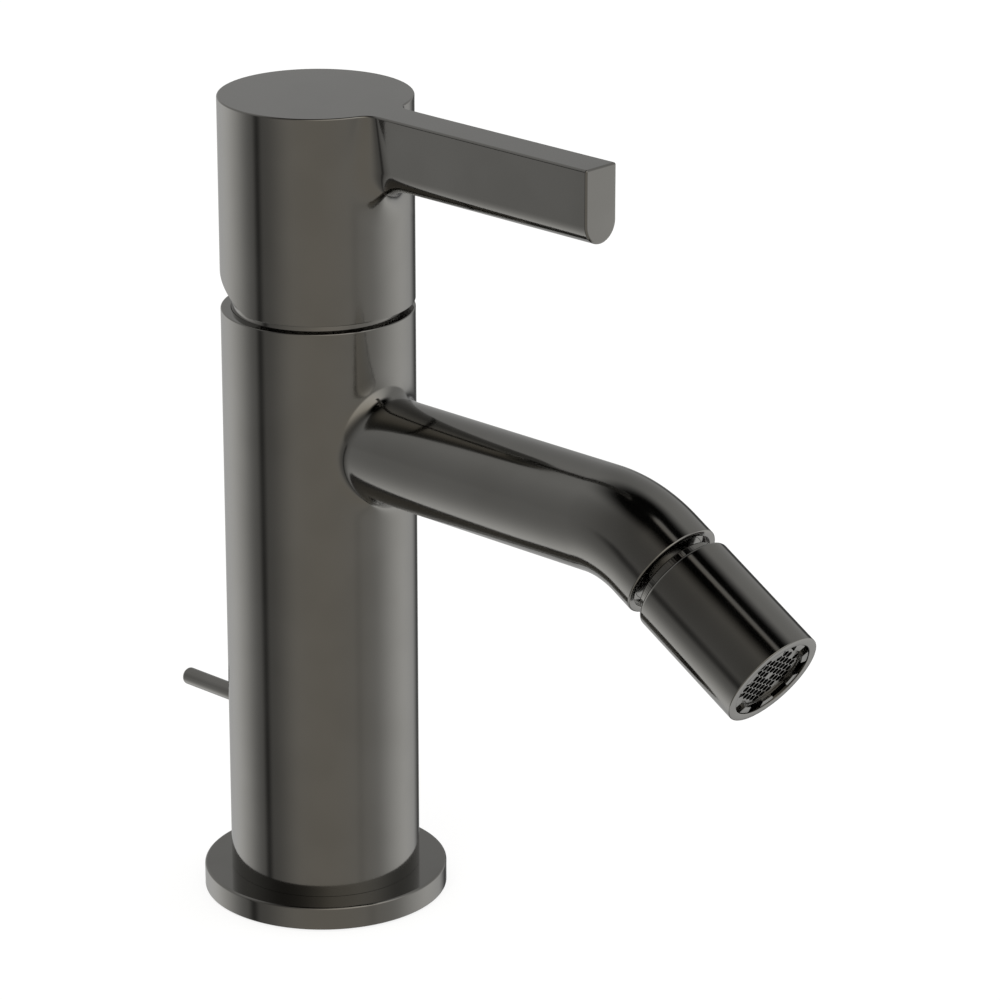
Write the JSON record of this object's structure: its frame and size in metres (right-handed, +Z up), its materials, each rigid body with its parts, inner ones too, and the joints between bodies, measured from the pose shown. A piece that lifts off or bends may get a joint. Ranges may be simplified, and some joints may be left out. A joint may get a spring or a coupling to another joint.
{
  "type": "bidet mixer",
  "caption": "Single-lever deck mixer with a bent round spout, ball-jointed aerator nozzle, ceramic disc cartridge and rear lift rod for a pop-up waste.",
  "frame": {"origin": "centre of the base plate's underside, which rests on the deck", "axes": "+Z up, -Y towards the user, along the spout and the lever, +X to the right as seen from the back of the lever"},
  "size_m": [0.0566, 0.1889, 0.1907],
  "materials": {
    "dark_metal": "polished dark grey coating on brass, warm tint",
    "brass": "machined brass, bare",
    "steel": "turned stainless steel",
    "black_steel": "black oxide",
    "rubber": "matt black rubber",
    "housing_plastic": "light grey moulded plastic",
    "foot_plastic": "dark moulded plastic",
    "rotor_plastic": "orange moulded plastic",
    "ceramic": "lapped alumina",
    "liner_plastic": "white low-friction plastic",
    "aerator_plastic": "grey moulded plastic with a metal coating",
    "regulator_plastic": "blue moulded plastic"
  },
  "bodies": {
    "tap_body": {"base_plate": "dark_metal", "base_gasket": "rubber", "body_o_ring": "rubber", "mixer_body": "dark_metal", "valve_block": "brass", "spout": "dark_metal", "inlet_bushes": "brass", "carriage_guides": "brass", "trim_collar": "dark_metal", "cartridge_nut": "brass", "cartridge_housing": "housing_plastic", "cartridge_base": "foot_plastic", "cartridge_port_seals": "rubber", "fixed_ceramic_disc": "ceramic", "swivel_nipple": "dark_metal", "nipple_seal": "rubber"},
    "rotor": {"cartridge_rotor": "rotor_plastic", "spindle_pivot_pin": "steel"},
    "handle": {"lever_handle": "dark_metal", "handle_grub_screw": "black_steel", "screw_cover_plug": "dark_metal", "cartridge_spindle": "brass"},
    "control_disc": {"disc_carrier": "foot_plastic", "moving_ceramic_disc": "ceramic"},
    "ball_joint": {"ball_liner": "liner_plastic"},
    "nozzle": {"ball_retaining_ring": "dark_metal", "ball_seat_ring": "liner_plastic", "nozzle_shell": "dark_metal", "aerator_washer": "rubber", "aerator_housing": "aerator_plastic", "aerator_honeycomb": "aerator_plastic", "flow_regulator": "regulator_plastic"},
    "waste_rod": {"lift_rod": "dark_metal", "rod_carriage": "brass", "carriage_clamp_screw": "black_steel"}
  },
  "joints": [
    {"name": "handle_turn", "type": "hinge", "parent": "tap_body", "child": "rotor", "pos_m": [0, 0, 0.146], "axis": [0, 0, 1], "range_deg": [-45, 45]},
    {"name": "handle_tilt", "type": "hinge", "parent": "rotor", "child": "handle", "pos_m": [0, 0, 0.146], "axis": [-1, 0, 0], "range_deg": [0, 25]},
    {"name": "disc_slide", "type": "slide", "parent": "rotor", "child": "control_disc", "axis": [0, -1, 0], "range_m": [0, 0.0037]},
    {"name": "nozzle_swivel", "type": "hinge", "parent": "tap_body", "child": "ball_joint", "pos_m": [0, -0.11461, 0.10124], "axis": [0, -0.8616, -0.5075], "continuous": true},
    {"name": "nozzle_tilt", "type": "hinge", "parent": "ball_joint", "child": "nozzle", "pos_m": [0, -0.11461, 0.10124], "axis": [1, 0, 0], "range_deg": [-12, 12]},
    {"name": "lift_rod_slide", "type": "slide", "parent": "tap_body", "child": "waste_rod", "axis": [0, 0, 1], "range_m": [0, 0.018]}
  ],
  "couplings": [
    {"joint": "disc_slide", "follows": "handle_tilt", "m_per_rad": 0.0083}
  ]
}
